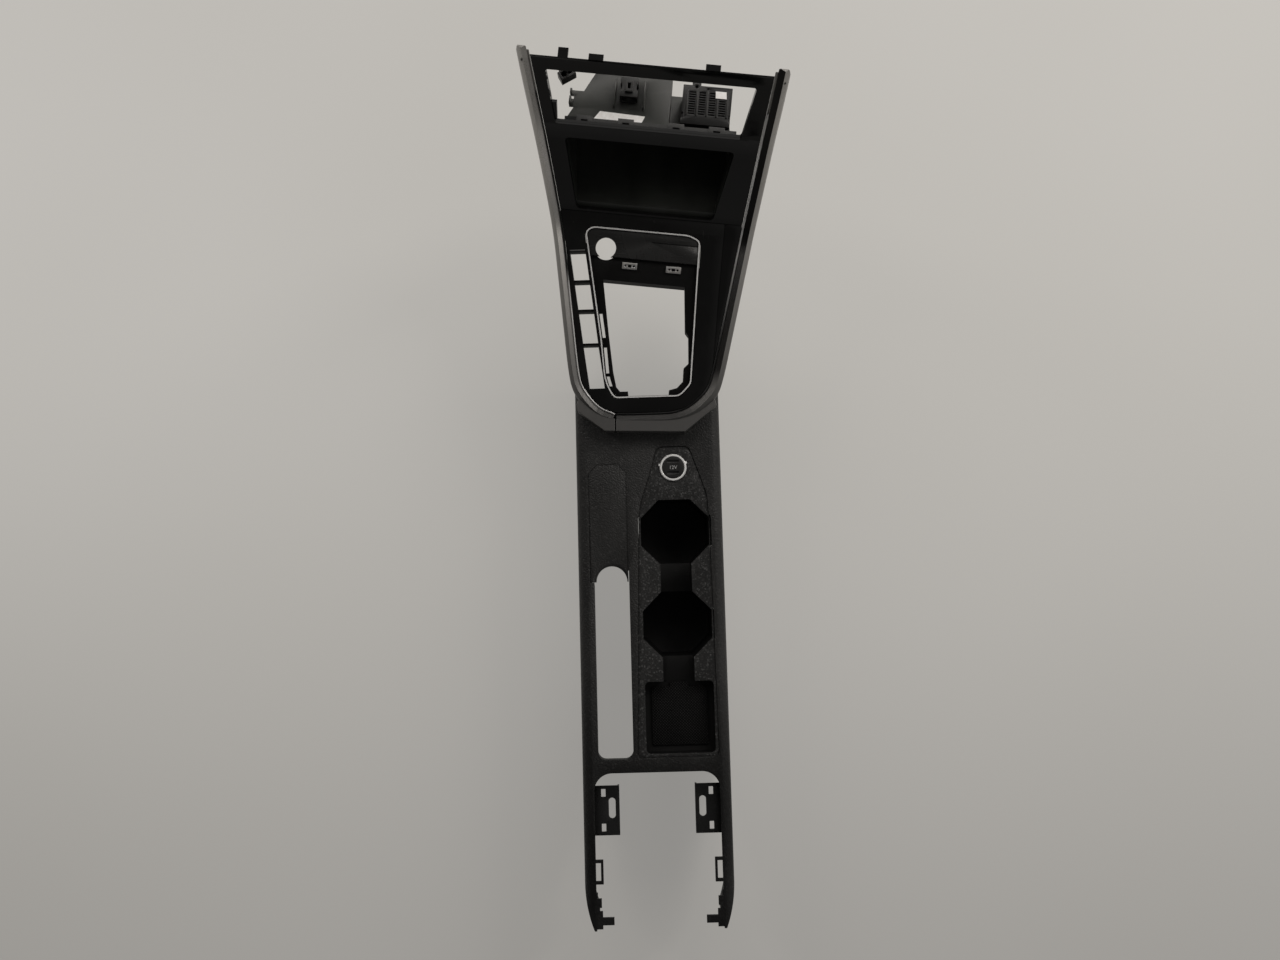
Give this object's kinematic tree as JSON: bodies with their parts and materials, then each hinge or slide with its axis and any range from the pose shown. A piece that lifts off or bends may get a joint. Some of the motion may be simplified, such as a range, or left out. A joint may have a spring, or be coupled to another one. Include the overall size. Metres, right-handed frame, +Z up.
{
  "type": "car center console",
  "caption": "Car center console with gear selector opening, switch slots, cup holders, handbrake slot, climate panel frame and storage compartment.",
  "frame": {"origin": "below the middle of the whole part, on the plane of its lower edge", "axes": "+Y to the front of the car, +X to the passenger side on the right, +Z up"},
  "size_m": [0.2561, 0.8912, 0.3414],
  "materials": {
    "body_plastic": "fine leather grain, dark grey",
    "cup_plastic": "grained top, smooth dark wells",
    "mat": "dotted rubber",
    "black_plastic": "satin black",
    "gloss_black": "high gloss black",
    "bright_metal": "bright satin chrome",
    "satin_trim": "satin silver-grey paint",
    "box_plastic": "smooth dark grey moulding",
    "module_plastic": "satin black",
    "black_steel": "black coated steel",
    "fastener_steel": "zinc plated"
  },
  "bodies": {
    "console": {"console_body": "body_plastic", "brake_cover_panel": "body_plastic", "cup_holder": "cup_plastic", "tray_mat": "mat", "socket_barrel": "black_plastic", "socket_ring": "bright_metal", "gear_surround": "gloss_black", "gear_ring": "bright_metal", "selector_frame": "black_plastic", "button_panel": "gloss_black", "selector_clips": "fastener_steel", "left_trim": "satin_trim", "right_trim": "satin_trim", "left_strip": "bright_metal", "right_strip": "bright_metal", "climate_frame": "gloss_black", "storage_compartment": "box_plastic", "compartment_clips": "module_plastic", "module_housing": "module_plastic", "module_cover": "module_plastic", "connector_tower": "black_plastic", "wire_clip": "black_plastic", "left_bracket": "black_steel", "right_bracket": "black_steel", "bracket_screws": "fastener_steel", "selector_screws": "fastener_steel"},
    "cap": {"socket_cap": "black_plastic"}
  },
  "joints": [
    {"name": "cap_pull", "type": "slide", "parent": "console", "child": "cap", "axis": [0, 0, 1], "range_m": [0, 0.026]}
  ]
}
